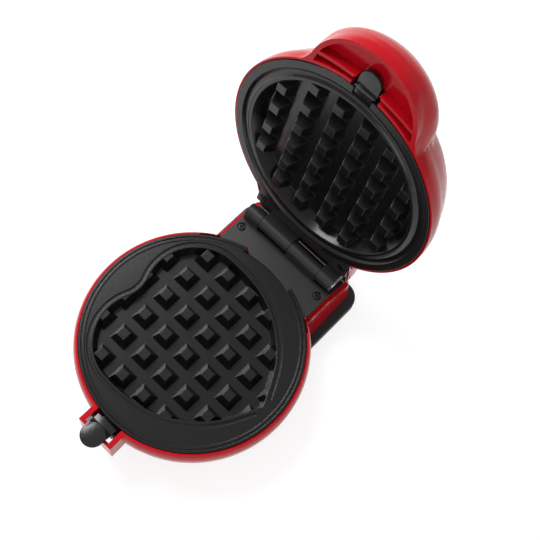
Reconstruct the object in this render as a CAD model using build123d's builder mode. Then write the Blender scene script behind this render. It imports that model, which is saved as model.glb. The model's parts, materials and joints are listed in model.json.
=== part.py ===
from build123d import *
import os
from math import acos, atan2, cos, degrees, radians, sin, sqrt, tan

# Round mini griddle and waffle maker, lying open as it is used. Millimetres, +Z up.
# Origin: on the table, in the middle of the space that the open appliance takes. The front is -Y and the
# hinge axis lies along X.
# Each half is drawn in its own frame: y runs from the front to the hinge, z points out of the cooking face.

# The object as a whole
plate_radius = 60.0
plate_y = -25.6
face_height = 35.0
face_gap = 1.0
hinge_offset = 75.0
open_angle = 101.0
seat_gap = 0.3
running_gap = 0.05
wall = 2.2

# Base bowl: radii of the outer side and their depths below the cooking face
rim_radius = 62.4
rim_drop = 0.8
crown_radius = 63.2
crown_depth = 4.0
belly_radius = 62.2
belly_depth = 8.0
waist_radius = 57.0
waist_depth = 20.0
foot_radius = 48.0
foot_depth = 33.0

# Lid dome: outer radius, depth below its cooking face and lean of the wall from the vertical
dome_height = 34.5
lid_rim_radius = 61.3
lid_rim_drop = 0.4
dome_stations = ((61.2, 3.0, 2.0), (57.6, 14.5, 14.0), (50.3, 25.3, 44.0), (33.0, 32.0, 74.0))

# Plate seat inside each rim
flange_thickness = 1.9
flange_clearance = 0.35
ledge_radius = 57.9
ledge_depth = 4.4

# Cooking plates
skirt_outer = 57.6
skirt_inner = 55.2
skirt_depth = 6.2
land_radius = 56.6
land_drop = 0.45
rim_groove_radius = 58.3
rim_groove_width = 0.7
rim_groove_depth = 0.5
cavity_depth = 7.4
cavity_draft = 15.0
plate_wall = 2.4
cavity_wall = 1.6
tooth_pitch = 15.6
tooth_top = 5.4
tooth_base = 10.4
tooth_height = 6.7
cut_back_radius = 57.0
cut_back_half_width = 16.0

# Heart cavity, tip towards +X
notch_centre_x = -59.6
lobe_x = -16.5
lobe_y = 18.5
lobe_radius = 27.8
flank_stations = ((14.3, 41.5, 24.0), (38.3, 23.3, 49.0))
tip_centre_x = 46.7
tip_radius = 4.0
tip_turn = 26.8
heart_grid_shift = 2.9
moat_gap = 1.3
moat_width = 1.7
moat_depth = 0.8
moat_break = 5.2

# Round cavity of the lid plate and the channel round it
round_cavity_radius = 49.6
round_floor_radius = 46.0
channel_inner = 51.2
channel_outer = 56.0
channel_depth = 1.2

# Hinge
bracket_half_width = 33.0
bracket_drop = 6.4
bracket_thickness = 3.0
bracket_rear = 71.9
apron_thickness = 1.2
knuckle_radius = 4.2
knuckle_gap = 0.3
long_knuckle = 21.0
short_knuckle = 10.1
knuckle_start = 0.2
pin_radius = 1.5
hinge_screw_x = 28.7
hinge_screw_setback = 8.4
bracket_lip_half_width = 15.4
bracket_edge_gap = 0.6

# Rear boss of each half
boss_half_width = 35.8
boss_inner_half_width = 34.0
boss_flare = 6.5
boss_rear = 88.0
boss_front = 33.0
boss_corner = 5.0
boss_wall_start = 52.0
boss_wall_drop = 1.0
boss_slope = 19.0
boss_bend = 70.0
lid_boss_height = 22.5
lid_boss_taper = 3.0

# Release tabs
tab_pin_radius = 1.0
base_tab_half_width = 6.5
base_tab_edge = 67.6
base_tab_tip = 78.0
base_tab_pivot_y = 63.3
base_tab_pivot_depth = 9.0
base_pad_top = 1.6
lid_tab_half_width = 5.9
lid_tab_edge = 61.8
lid_tab_tip = 72.3
lid_tab_pivot_y = 62.4
lid_tab_pivot_depth = 8.5
lid_pad_top = -1.7
tab_thickness = 1.7
tab_arm = 3.6

# Front guard round the base tab
guard_half_width = 11.5
guard_opening = 8.5
guard_front = 70.5
guard_wall = 1.9
guard_depth = 15.0
guard_drop = 0.8
guard_notch = 2.4

# Finger handle of the lid
handle_tip = 85.0
handle_radius = 31.2
handle_blend = 25.0
handle_lip = 2.4
handle_stations = ((0.0, 0.0), (7.0, 0.8), (13.0, 4.5), (18.0, 12.0), (22.5, 23.0))
pocket_depth = 5.5
pocket_rib_radius = 103.5
pocket_rib_front = 66.0
pocket_rib_width = 1.8
pocket_back_wall = 1.7

# Heating parts, the same in both halves
element_radius = 36.0
element_tube = 3.2
element_leg_x = 11.0
element_bend = 6.0
element_reach = 50.0
element_gap = 0.4
pan_floor_gap = 0.6
pan_floor_radius = 49.5
pan_mouth_radius = 53.3
pan_outer_radius = 57.6
pan_flange_depth = 8.1
pan_sheet = 0.8
pan_screw_circle = 55.6
pan_post_radius = 2.0
base_post_height = 8.0
lid_post_height = 4.3
pan_screw_length = 4.0
screw_shaft = 1.2
screw_head = 2.0
screw_head_height = 1.0

# Underside
foot_slab_half_width = 44.0
foot_slab_front = 36.0
foot_slab_rear = 93.0
foot_slab_corner = 10.0
foot_slab_bottom = 1.2
foot_slab_top = 7.0
cover_thickness = 2.0
cover_clearance = 0.35
cover_post_circle = 44.5
rubber_foot_radius = 5.0
rubber_foot_height = 2.6
gland_height = 12.4
gland_radius = 3.8
gland_lip = 1.2
cord_bore = 2.9
front_foot_x = 26.0
front_foot_y = 30.0
rear_foot_x = 34.0
rear_foot_y = 83.0

# Indicator on the crown of the lid
lens_y = -24.0
lens_depth = 33.3
lens_radius = 3.0
lamp_radius = 1.7

# Values worked out from the ones above
axis_rise = face_gap / 2
hinge_height = face_height + axis_rise
seat_depth = flange_thickness + seat_gap
plate_bore = plate_radius + flange_clearance
bracket_top = axis_rise - bracket_drop
bracket_seat = bracket_top - bracket_thickness
plate_underside = cavity_depth + plate_wall
element_depth = plate_underside + element_gap + element_tube
pan_floor_depth = element_depth + element_tube + pan_floor_gap
gland_plane = Plane(origin=(0, plate_y + boss_rear + 0.8, gland_height), x_dir=(1, 0, 0), z_dir=(0, -1, 0))


def open_lid_frame(angle):
    """Frame of the lid plate's face with the lid raised by the angle."""
    run, rise = cos(radians(angle)), sin(radians(angle))
    y = plate_y + hinge_offset - hinge_offset * run + axis_rise * rise
    z = hinge_height + hinge_offset * rise + axis_rise * run
    return Plane(origin=(0, y, z), x_dir=(-1, 0, 0), z_dir=(0, -rise, -run))


ground = Plane(origin=(0, plate_y, 0))
base_face = ground.offset(face_height)
lid_face = open_lid_frame(open_angle)


def section(face):
    """Plane through the centre of a half: x is the radius, y the height above the face."""
    return Plane(origin=face.origin, x_dir=face.x_dir, z_dir=face.y_dir * -1)


def profile(face, offset=0.0):
    """Side plane of a half: x runs to the hinge, y is the height, and extrusions run across the width."""
    return Plane(origin=face.origin + face.x_dir * offset, x_dir=face.y_dir, z_dir=face.x_dir)


def spin_axis(face):
    return Axis(face.origin, face.z_dir)


def boss_floor(y):
    """Height of the boss floor between its side walls: flat under the bracket, then falling to the rear."""
    return bracket_seat - tan(radians(boss_slope)) * max(0.0, y - boss_bend)


def wall_line(y):
    """Height of the top of the boss side walls."""
    return -boss_wall_drop - tan(radians(boss_slope)) * (y - boss_wall_start)


def beyond_stop(gap):
    """Side outline of the space that belongs to the other half, past the plane where the halves meet."""
    lean = radians(open_angle / 2)
    reach = 60.0
    y = hinge_offset - gap * sin(lean)
    z = axis_rise - gap * cos(lean)
    end_y = y + reach * cos(lean)
    end_z = z - reach * sin(lean)
    return ((y, z), (end_y, end_z), (end_y + reach, end_z), (end_y + reach, reach), (y, reach))


def heart_outline(inset):
    """Outline of the heart, moved in by the inset: notch, lobe, flank and tip, mirrored about its long axis."""
    turn = degrees(atan2(lobe_y, lobe_x - notch_centre_x))
    notch_radius = sqrt(lobe_y ** 2 + (lobe_x - notch_centre_x) ** 2) - lobe_radius
    CenterArc((notch_centre_x, 0), notch_radius + inset, 0, turn)
    lobe = CenterArc((lobe_x, lobe_y), lobe_radius - inset, 90, 90 + turn)
    tip = CenterArc((tip_centre_x, 0), tip_radius - inset, 0, tip_turn)
    flank = []
    for x, y, lean in flank_stations:
        flank.append((x - inset * sin(radians(lean)), y - inset * cos(radians(lean))))
    tip_direction = (sin(radians(tip_turn)), -cos(radians(tip_turn)))
    Spline(lobe @ 0, *flank, tip @ 1, tangents=((1, 0), tip_direction))
    mirror(about=Plane.XZ)


def heart_block(face, inset, depth):
    """Heart-shaped block with drafted sides, from the face down."""
    with BuildPart() as block:
        for drop in (0, depth):
            with BuildSketch(face.offset(-drop)):
                with BuildLine():
                    heart_outline(inset + drop * tan(radians(cavity_draft)))
                make_face()
        loft(ruled=True)
    return block.part


def tooth_grid(face, shift, columns, rows):
    """Tapered square teeth standing on the cavity floor."""
    with BuildPart() as teeth:
        with BuildSketch(face.offset(-cavity_depth)):
            with Locations((shift, 0)):
                with GridLocations(tooth_pitch, tooth_pitch, columns, rows):
                    Rectangle(tooth_base, tooth_base)
        lean = degrees(atan2((tooth_base - tooth_top) / 2, tooth_height))
        extrude(amount=tooth_height, taper=lean)
    return teeth.part


def plate_blank(face):
    """Flange and skirt that both cooking plates share, cut back at the hinge."""
    with BuildPart() as blank:
        with BuildSketch(section(face)):
            with BuildLine():
                Polyline(
                    (0, 0), (plate_radius, 0), (plate_radius, -flange_thickness),
                    (skirt_outer, -flange_thickness), (skirt_outer, -skirt_depth),
                    (skirt_inner, -skirt_depth), (skirt_inner, -plate_wall), (0, -plate_wall), close=True,
                )
            make_face()
        revolve(axis=spin_axis(face))
        with BuildSketch(face.offset(-skirt_depth - 1)):
            with Locations((0, plate_radius)):
                Rectangle(2 * cut_back_half_width, plate_radius)
            Circle(cut_back_radius, mode=Mode.SUBTRACT)
        extrude(amount=skirt_depth + 2, mode=Mode.SUBTRACT)
    return blank.part


def hinge_bracket(face):
    """Moulded hinge plate with one short and one long knuckle, the same piece for both halves."""
    height = bracket_thickness
    with BuildPart() as bracket:
        with BuildSketch(face.offset(bracket_seat)):
            with Locations((0, (boss_front + bracket_rear) / 2)):
                Rectangle(2 * bracket_half_width, bracket_rear - boss_front)
            Circle(plate_radius + bracket_edge_gap, mode=Mode.SUBTRACT)
            with BuildSketch(mode=Mode.PRIVATE) as lip:
                with Locations((0, (boss_front + bracket_rear) / 2)):
                    Rectangle(2 * bracket_lip_half_width, bracket_rear - boss_front)
                Circle(cut_back_radius + bracket_edge_gap, mode=Mode.SUBTRACT)
            add(lip.sketch)
        extrude(amount=height)
        end = boss_rear
        with BuildSketch(profile(face, -bracket_half_width)):
            with BuildLine():
                Polyline(
                    (boss_bend - 4, bracket_seat), (boss_bend - 4, bracket_top), (bracket_rear, bracket_top),
                    (bracket_rear + 0.8, boss_floor(bracket_rear + 0.8) + apron_thickness),
                    (end, boss_floor(end) + apron_thickness), (end, boss_floor(end)),
                    (boss_bend, boss_floor(boss_bend)), close=True,
                )
            make_face()
        extrude(amount=2 * bracket_half_width)
        for start, length in ((knuckle_start, long_knuckle), (-knuckle_start - long_knuckle - knuckle_gap, 0)):
            if length == 0:
                start = start - short_knuckle
                length = short_knuckle
            with BuildSketch(profile(face, start)):
                with Locations((hinge_offset, axis_rise)):
                    Circle(knuckle_radius)
                with BuildLine():
                    Polyline(
                        (hinge_offset - knuckle_radius, axis_rise), (hinge_offset + knuckle_radius, axis_rise),
                        (hinge_offset + knuckle_radius, boss_floor(hinge_offset + knuckle_radius)),
                        (hinge_offset - knuckle_radius, boss_floor(hinge_offset - knuckle_radius)), close=True,
                    )
                make_face()
            extrude(amount=length)
        with BuildSketch(profile(face, -2 * boss_half_width)):
            with Locations((hinge_offset, axis_rise)):
                Circle(pin_radius + running_gap)
        extrude(amount=4 * boss_half_width, mode=Mode.SUBTRACT)
        with BuildSketch(profile(face, -2 * boss_half_width)):
            Polygon(*beyond_stop(2 * seat_gap), align=None)
            with Locations((hinge_offset, axis_rise)):
                Circle(2 * knuckle_radius, mode=Mode.SUBTRACT)
        extrude(amount=4 * boss_half_width, mode=Mode.SUBTRACT)
        screw_y = hinge_offset - hinge_screw_setback
        with Locations(face.offset(bracket_top)):
            with Locations((-hinge_screw_x, screw_y), (hinge_screw_x, screw_y)):
                CounterBoreHole(screw_shaft + seat_gap, screw_head + 2 * seat_gap, screw_head_height, height + 1)
    return bracket


def screw(seat, length, head=None):
    """Cross-head screw: its seat plane lies under the head, the shaft runs the other way."""
    with BuildPart() as fastener:
        with BuildSketch(seat):
            Circle(head or screw_head)
        extrude(amount=screw_head_height)
        fillet(fastener.faces().sort_by(Axis(seat.origin, seat.z_dir))[-1].edges(), 0.4)
        with BuildSketch(seat.offset(screw_head_height)):
            Rectangle(2.6, 0.6)
            Rectangle(0.6, 2.6)
        extrude(amount=-0.7, mode=Mode.SUBTRACT)
        with BuildSketch(seat):
            Circle(screw_shaft)
        extrude(amount=-length)
    return fastener.part


def screw_group(seats, length):
    """Identical screws that share one node."""
    with BuildPart() as group:
        for seat in seats:
            add(screw(seat, length))
    return group


def at(face, x, y, z, flip=False):
    """Plane at a point of a half's own frame, facing out of the cooking face or the other way."""
    point = face.origin + face.x_dir * x + face.y_dir * y + face.z_dir * z
    return Plane(origin=point, x_dir=face.x_dir, z_dir=face.z_dir * (-1 if flip else 1))


def around(face, radius, angles, z, flip=False):
    """Seat planes spread round a half's centre."""
    return [at(face, radius * cos(radians(a)), radius * sin(radians(a)), z, flip) for a in angles]


pan_screw_angles = (60, 180, 300)
cover_screw_angles = (30, 150, 270)


def heating_element(face):
    """Tubular element: a ring with its two cold ends led out towards the hinge."""
    reach = element_radius + element_bend
    lead_x = element_leg_x + element_bend
    lead_y = sqrt(reach ** 2 - lead_x ** 2)
    turn = degrees(acos(lead_x / reach))
    with BuildPart() as element:
        with BuildLine(face.offset(-element_depth)) as path:
            right = Line((element_leg_x, element_reach), (element_leg_x, lead_y))
            CenterArc((lead_x, lead_y), element_bend, 180, turn)
            CenterArc((0, 0), element_radius, turn, -(180 + 2 * turn))
            CenterArc((-lead_x, lead_y), element_bend, -turn, turn)
            Line((-element_leg_x, lead_y), (-element_leg_x, element_reach))
        start = at(face, element_leg_x, element_reach, -element_depth)
        with BuildSketch(Plane(origin=start.origin, x_dir=face.x_dir, z_dir=face.y_dir)):
            Circle(element_tube)
        sweep(path=path.wires()[0])
    return element


def heat_shield(face):
    """Pressed pan under the element, with a screw flange and two gaps for the element's ends."""
    floor = -pan_floor_depth
    rim = -pan_flange_depth
    with BuildPart() as pan:
        with BuildSketch(section(face)):
            with BuildLine():
                Polyline(
                    (0, floor), (pan_floor_radius, floor), (pan_mouth_radius - pan_sheet, rim),
                    (pan_outer_radius, rim), (pan_outer_radius, rim - pan_sheet),
                    (pan_mouth_radius, rim - pan_sheet), (pan_floor_radius + 0.4, floor - pan_sheet),
                    (0, floor - pan_sheet), close=True,
                )
            make_face()
        revolve(axis=spin_axis(face))
        for x in (-element_leg_x, element_leg_x):
            start = at(face, x, 0, -element_depth)
            with BuildSketch(Plane(origin=start.origin + face.y_dir * element_radius, x_dir=face.x_dir,
                                   z_dir=face.y_dir)):
                Circle(element_tube + seat_gap)
            extrude(amount=element_radius, mode=Mode.SUBTRACT)
        with BuildSketch(face.offset(rim)):
            with PolarLocations(pan_screw_circle, len(pan_screw_angles), start_angle=pan_screw_angles[0]):
                Circle(screw_shaft + seat_gap / 2)
        extrude(amount=-pan_sheet, mode=Mode.SUBTRACT)
    return pan


def rear_boss(face, height, flare, closed):
    """Box behind each half that carries the hinge bracket, hollow, with posts for the hinge screws."""
    middle = (boss_front + boss_rear) / 2
    screw_y = hinge_offset - hinge_screw_setback
    ceiling = bracket_seat - wall
    floor = -height + (wall if closed else -1)
    with BuildPart() as boss:
        with BuildSketch(face):
            with Locations((0, middle)):
                Rectangle(2 * boss_half_width, boss_rear - boss_front)
        extrude(amount=-height, taper=-flare)
        corners = boss.edges().filter_by(lambda e: abs(e.length - height) < 2).sort_by(Axis(face.origin, face.y_dir))
        fillet(corners[-2:], boss_corner)
        if closed:
            far = boss.faces().sort_by(Axis(face.origin, face.z_dir))[0]
            fillet(far.edges(), boss_corner)
        with BuildSketch(profile(face, -2 * boss_half_width)):
            with BuildLine():
                Polyline(
                    (boss_front - 9, wall_line(boss_front - 9)), (boss_rear + 9, wall_line(boss_rear + 9)),
                    (boss_rear + 9, 30), (boss_front - 9, 30), close=True,
                )
            make_face()
            Polygon(*beyond_stop(seat_gap / 2), align=None)
        extrude(amount=4 * boss_half_width, mode=Mode.SUBTRACT)
        with BuildSketch(profile(face, wall - boss_half_width)):
            rear = boss_rear - wall
            Polygon(
                (boss_front + wall, ceiling), (boss_bend - 1, ceiling), (rear, boss_floor(rear) - wall),
                (rear, floor), (boss_front + wall, floor), align=None,
            )
        extrude(amount=2 * boss_half_width - 2 * wall, mode=Mode.SUBTRACT)
        with BuildSketch(face.offset(bracket_seat)):
            with Locations((-hinge_screw_x, screw_y), (hinge_screw_x, screw_y)):
                Circle(3.6)
        extrude(amount=-height + (wall / 2 if closed else 0) - bracket_seat)
    return boss.part


def seat_space(face):
    """Room for the hinge bracket between the side walls of the boss, open to the rear."""
    with BuildPart() as space:
        with BuildSketch(profile(face, -boss_inner_half_width)):
            Polygon(
                (boss_front, bracket_seat), (boss_bend, bracket_seat), (boss_rear + 9, boss_floor(boss_rear + 9)),
                (boss_rear + 9, 30), (boss_front, 30), align=None,
            )
        extrude(amount=2 * boss_inner_half_width)
        with BuildSketch(face.offset(bracket_seat)):
            Circle(plate_bore)
            with Locations((0, plate_bore)):
                Rectangle(2 * bracket_lip_half_width + 2 * seat_gap, plate_bore, mode=Mode.SUBTRACT)
        extrude(amount=40, mode=Mode.SUBTRACT)
    return space.part


def release_tab(face, half_width, edge, tip, pivot_y, pivot_depth, pad_top, bridge, nose_top, nose_tip,
                nose_half_width):
    """Thumb tab on a cross pin: a D-shaped pad outside, a nose inside that holds the plate down."""
    arm_inner = pivot_y - tab_arm / 2
    arm_outer = pivot_y + tab_arm / 2
    with BuildPart() as tab:
        with BuildSketch(profile(face, -half_width)):
            with Locations((-pivot_y, -pivot_depth)):
                Circle(tab_arm / 2 + 0.3)
            Polygon((-arm_inner, -pivot_depth), *bridge, (-arm_outer, -pivot_depth), align=None)
        extrude(amount=2 * half_width)
        with BuildSketch(face.offset(pad_top)):
            with Locations((0, -tip + half_width)):
                Circle(half_width)
            with Locations((0, -(edge + tip - half_width) / 2)):
                Rectangle(2 * half_width, tip - half_width - edge)
        extrude(amount=-tab_thickness)
        with BuildSketch(face.offset(nose_top)):
            with Locations((0, -(nose_tip + arm_inner + 1) / 2)):
                Rectangle(2 * nose_half_width, arm_inner + 1 - nose_tip)
        extrude(amount=-1.3)
        with BuildSketch(profile(face, -half_width - 1)):
            with Locations((-pivot_y, -pivot_depth)):
                Circle(tab_pin_radius + running_gap)
        extrude(amount=2 * half_width + 2, mode=Mode.SUBTRACT)
    return tab


def cross_pin(face, y, depth, radius, half_length):
    with BuildPart() as pin:
        with BuildSketch(profile(face, -half_length)):
            with Locations((y, depth)):
                Circle(radius)
        extrude(amount=2 * half_length)
        chamfer(pin.edges(), radius / 5)
    return pin


def torsion_spring(face, pivot_y, pivot_depth, start_x):
    """Small spring wound round the tab's pin: quarter-turn arcs, then a straight leg at each end."""
    coil = 2.0
    wire = 0.22
    pitch = 0.55
    quarters = 7
    leg = 3.0
    middle = at(face, 0, -pivot_y, -pivot_depth)

    def point(turn):
        angle = radians(360 * turn)
        flat = face.y_dir * (coil * cos(angle)) + face.z_dir * (coil * sin(angle))
        return middle.origin + face.x_dir * (start_x + pitch * turn) + flat

    with BuildPart() as spring:
        with BuildLine() as path:
            first = Line(point(0) + face.z_dir * -leg, point(0))
            for step in range(quarters):
                ThreePointArc(point(step / 4), point(step / 4 + 0.125), point(step / 4 + 0.25))
            end = quarters / 4
            Line(point(end), point(end) + face.y_dir * leg)
        with BuildSketch(Plane(origin=first @ 0, z_dir=first % 0)):
            Circle(wire)
        sweep(path=path.wires()[0])
    return spring


def bowl_side(inset):
    """Side of the bowl from the foot up to the belly, moved in by the wall for the inner face."""
    return ThreePointArc(
        (foot_radius - inset, -foot_depth), (waist_radius - inset, -waist_depth), (belly_radius - inset, -belly_depth),
    )


def dome_point(station, inset):
    radius, depth, lean = station
    return (radius - inset * cos(radians(lean)), -depth + inset * sin(radians(lean)))


def dome_side(inset, start):
    """Side and crown of the lid, from the rim to the middle."""
    points = [start] + [dome_point(station, inset) for station in dome_stations[1:]]
    return Spline(*points, (0, -dome_height + inset), tangents=((0, -1), (-1, 0)))


def handle_outline(inset):
    """Plan outline of the finger handle: a round nose blended into the side of the dome."""
    nose = handle_radius - 0.5 * inset
    centre = -handle_tip + inset + nose
    dome = lid_rim_radius - 1.0 - 0.42 * inset
    reach = nose + handle_blend
    span = dome + handle_blend
    y = (span ** 2 - reach ** 2 + centre ** 2) / (2 * centre)
    x = sqrt(span ** 2 - y ** 2)
    tilt = degrees(atan2(y - centre, x))
    swing = degrees(atan2(-y, -x)) % 360
    start = degrees(atan2(centre - y, -x)) % 360
    bow = CenterArc((0, centre), nose, tilt, -(180 + 2 * tilt))
    right = CenterArc((x, y), handle_blend, start, swing - start)
    left_start = 180 - swing
    left = CenterArc((-x, y), handle_blend, left_start, swing - start)
    Line(right @ 1, (0, -12))
    Line((0, -12), left @ 0)
    return bow, right, left


# Base housing: bowl, rear boss and front guard in one moulding
with BuildPart() as base_housing:
    with BuildSketch(section(base_face)):
        with BuildLine():
            side = bowl_side(0)
            top = ThreePointArc(side @ 1, (crown_radius, -crown_depth), (rim_radius, -rim_drop))
            Polyline(top @ 1, (0, -rim_drop), (0, -foot_depth), side @ 0)
        make_face()
    revolve(axis=spin_axis(base_face))
    add(rear_boss(base_face, face_height - foot_slab_top, boss_flare, False))
    with BuildSketch(base_face.offset(-guard_drop)):
        with Locations((0, -(guard_front + ledge_radius) / 2)):
            Rectangle(2 * guard_half_width, guard_front - ledge_radius)
    extrude(amount=guard_drop - guard_depth)
    with BuildSketch(section(base_face)):
        with BuildLine():
            side = bowl_side(wall)
            Polyline(
                side @ 1, (ledge_radius, -ledge_depth), (ledge_radius, -seat_depth), (plate_bore, -seat_depth),
                (plate_bore, 0), (0, 0), (0, -foot_depth), side @ 0,
            )
        make_face()
    revolve(axis=spin_axis(base_face), mode=Mode.SUBTRACT)
    add(seat_space(base_face), mode=Mode.SUBTRACT)
    with BuildSketch(base_face):
        with Locations((0, -(guard_front - guard_wall + crown_radius) / 2)):
            Rectangle(2 * guard_opening, guard_front - guard_wall - crown_radius)
    extrude(amount=-guard_depth - 1, mode=Mode.SUBTRACT)
    with BuildSketch(base_face):
        with Locations((0, -(guard_front - guard_wall + skirt_inner) / 2)):
            Rectangle(2 * guard_opening, guard_front - guard_wall - skirt_inner)
    extrude(amount=-base_tab_pivot_depth - tab_arm, mode=Mode.SUBTRACT)
    with BuildSketch(base_face):
        with Locations((0, -guard_front)):
            Rectangle(2 * base_tab_half_width + 2 * seat_gap, 4 * guard_wall)
    extrude(amount=-guard_notch, mode=Mode.SUBTRACT)
    with BuildSketch(profile(base_face, -guard_half_width + 1)):
        with Locations((-base_tab_pivot_y, -base_tab_pivot_depth)):
            Circle(tab_pin_radius + running_gap)
    extrude(amount=2 * guard_half_width - 2, mode=Mode.SUBTRACT)
    with BuildSketch(base_face.offset(-pan_flange_depth - pan_sheet - seat_gap)):
        with PolarLocations(pan_screw_circle, len(pan_screw_angles), start_angle=pan_screw_angles[0]):
            Circle(pan_post_radius)
    extrude(amount=-base_post_height)
    with BuildSketch(base_face.offset(-foot_depth + cover_thickness + seat_gap)):
        with PolarLocations(cover_post_circle, len(cover_screw_angles), start_angle=cover_screw_angles[0]):
            Circle(3.4)
    extrude(amount=10)
    for seats, length in (
        (around(base_face, pan_screw_circle, pan_screw_angles, -pan_flange_depth - pan_sheet), pan_screw_length),
        (around(base_face, cover_post_circle, cover_screw_angles, -foot_depth + cover_thickness, True), 8),
        ([at(base_face, x, hinge_offset - hinge_screw_setback, bracket_seat) for x in (-hinge_screw_x, hinge_screw_x)],
         9),
        ([at(base_face, x, hinge_offset - hinge_screw_setback, foot_slab_top - face_height, True)
          for x in (-hinge_screw_x, hinge_screw_x)], 8),
    ):
        for seat in seats:
            with BuildSketch(seat):
                Circle(screw_shaft + running_gap)
            extrude(amount=-length, mode=Mode.SUBTRACT)
    with BuildSketch(gland_plane):
        Circle(gland_radius + gland_lip + seat_gap)
    extrude(amount=-6, mode=Mode.SUBTRACT)
    with BuildSketch(gland_plane):
        Circle(gland_radius + seat_gap / 2)
    extrude(amount=8, mode=Mode.SUBTRACT)
    with BuildSketch(Plane.XZ.offset(-plate_y - 48)):
        with Locations((0, 12)):
            Rectangle(24, 8)
    extrude(amount=-14, mode=Mode.SUBTRACT)
base_housing.part.label = "base_housing"

# Lid shell: dome, finger handle with its pockets, and rear boss
with BuildPart() as lid_handle:
    for depth, inset in handle_stations:
        with BuildSketch(lid_face.offset(-depth - lid_rim_drop)):
            with BuildLine():
                handle_outline(inset)
            make_face()
    loft()

with BuildPart() as lid_shell:
    with BuildSketch(section(lid_face)):
        with BuildLine():
            rim = Line((lid_rim_radius, -lid_rim_drop), (dome_stations[0][0], -dome_stations[0][1]))
            side = dome_side(0, rim @ 1)
            Polyline(side @ 1, (0, -lid_rim_drop), rim @ 0)
        make_face()
    revolve(axis=spin_axis(lid_face))
    add(lid_handle.part)
    add(rear_boss(lid_face, lid_boss_height, -lid_boss_taper, True))
    with BuildSketch(section(lid_face)):
        with BuildLine():
            side = dome_side(wall, (dome_stations[0][0] - wall, -ledge_depth - 0.8))
            Polyline(
                side @ 1, (0, 0), (plate_bore, 0), (plate_bore, -seat_depth), (ledge_radius, -seat_depth),
                (ledge_radius, -ledge_depth), side @ 0,
            )
        make_face()
    revolve(axis=spin_axis(lid_face), mode=Mode.SUBTRACT)
    add(seat_space(lid_face), mode=Mode.SUBTRACT)
    pocket_centre = -handle_tip + handle_radius
    rib_centre = pocket_rib_radius - pocket_rib_front
    with BuildSketch(lid_face):
        with Locations((0, pocket_centre)):
            Circle(handle_radius - handle_lip)
        with Locations((0, rib_centre)):
            Circle(pocket_rib_radius, mode=Mode.SUBTRACT)
    extrude(amount=-pocket_depth, mode=Mode.SUBTRACT)
    with BuildSketch(lid_face):
        with Locations((0, pocket_centre)):
            Circle(handle_radius - handle_lip)
        with Locations((0, rib_centre)):
            Circle(pocket_rib_radius - pocket_rib_width, mode=Mode.INTERSECT)
        Circle(plate_bore + pocket_back_wall, mode=Mode.SUBTRACT)
    extrude(amount=-pocket_depth + 1, mode=Mode.SUBTRACT)
    slot_half_width = lid_tab_half_width + 2.0
    with BuildSketch(lid_face):
        with Locations((0, -(skirt_inner + lid_tab_pivot_y + tab_arm / 2 + 1) / 2)):
            Rectangle(2 * slot_half_width, lid_tab_pivot_y + tab_arm / 2 + 1 - skirt_inner)
        with Locations((0, -pocket_rib_front)):
            Rectangle(2 * lid_tab_half_width + 2, 6)
    extrude(amount=-pocket_depth, mode=Mode.SUBTRACT)
    with BuildSketch(lid_face):
        with Locations((0, -(skirt_inner + lid_tab_pivot_y + tab_arm / 2 + 1) / 2)):
            Rectangle(2 * slot_half_width, lid_tab_pivot_y + tab_arm / 2 + 1 - skirt_inner)
    extrude(amount=-lid_tab_pivot_depth - tab_arm, mode=Mode.SUBTRACT)
    with BuildSketch(profile(lid_face, -slot_half_width - 3)):
        with Locations((-lid_tab_pivot_y, -lid_tab_pivot_depth)):
            Circle(tab_pin_radius + running_gap)
    extrude(amount=2 * slot_half_width + 6, mode=Mode.SUBTRACT)
    with BuildSketch(lid_face.offset(-pan_flange_depth - pan_sheet - seat_gap)):
        with PolarLocations(pan_screw_circle, len(pan_screw_angles), start_angle=pan_screw_angles[0]):
            Circle(pan_post_radius)
    extrude(amount=-lid_post_height)
    for seats, length in (
        (around(lid_face, pan_screw_circle, pan_screw_angles, -pan_flange_depth - pan_sheet), pan_screw_length),
        ([at(lid_face, x, hinge_offset - hinge_screw_setback, bracket_seat) for x in (-hinge_screw_x, hinge_screw_x)],
         9),
    ):
        for seat in seats:
            with BuildSketch(seat):
                Circle(screw_shaft + running_gap)
            extrude(amount=-length, mode=Mode.SUBTRACT)
    with BuildSketch(at(lid_face, 0, lens_y, -dome_height + 8)):
        Circle(lens_radius + running_gap)
    extrude(amount=-12, mode=Mode.SUBTRACT)
lid_shell.part.label = "lid_shell"

# Heart cavity and its teeth, cut out of the base plate
with BuildPart() as heart_cavity:
    add(heart_block(base_face, 0, cavity_depth))
    add(tooth_grid(base_face, heart_grid_shift, 7, 6), mode=Mode.SUBTRACT)

with BuildPart() as heart_moat:
    with BuildSketch(base_face):
        with BuildLine():
            heart_outline(-moat_gap - moat_width)
        make_face()
    extrude(amount=-land_drop - moat_depth)
    with BuildSketch(base_face):
        with BuildLine():
            heart_outline(-moat_gap)
        make_face()
    extrude(amount=-cavity_depth, mode=Mode.SUBTRACT)
    with BuildSketch(base_face):
        with Locations((tip_centre_x + 6, 0)):
            Rectangle(12, 2 * moat_break)
    extrude(amount=-cavity_depth, mode=Mode.SUBTRACT)

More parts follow.
